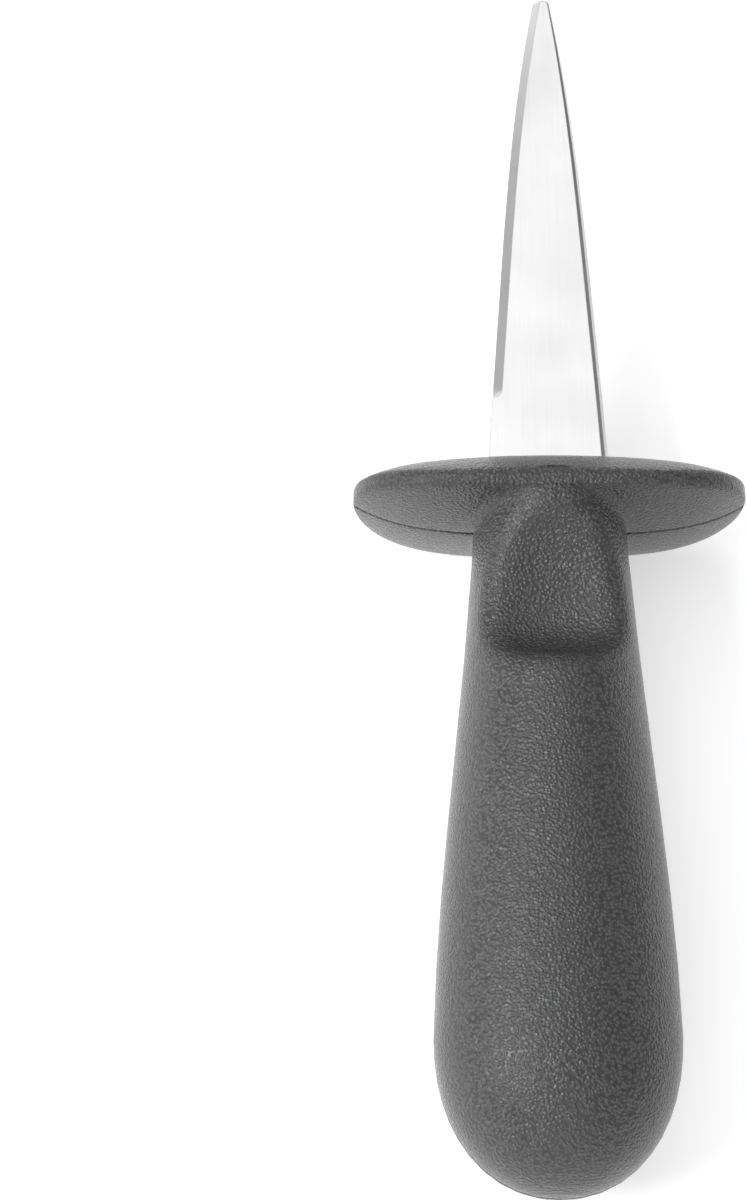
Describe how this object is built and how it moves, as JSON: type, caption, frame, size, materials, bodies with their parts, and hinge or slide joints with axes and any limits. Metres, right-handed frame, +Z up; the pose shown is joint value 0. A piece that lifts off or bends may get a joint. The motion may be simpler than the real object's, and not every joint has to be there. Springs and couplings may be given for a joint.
{
  "type": "oyster knife",
  "caption": "Oyster knife with a short tapered lancet blade, an oval hand guard and a pear-shaped moulded handle with a thumb rest.",
  "frame": {"origin": "on the ground below the middle of the knife's bounding box, as it lies on the guard's lower flat", "axes": "+Y along the knife towards the blade's tip, +Z up, square to the blade's flat faces, +X across the guard"},
  "size_m": [0.05, 0.1598, 0.029],
  "materials": {
    "steel": "satin, brushed lengthwise, with one ground bevel",
    "handle_plastic": "black, fine moulded grain"
  },
  "bodies": {
    "root": {"blade": "steel", "handle_upper_half": "handle_plastic", "handle_lower_half": "handle_plastic"}
  },
  "joints": []
}
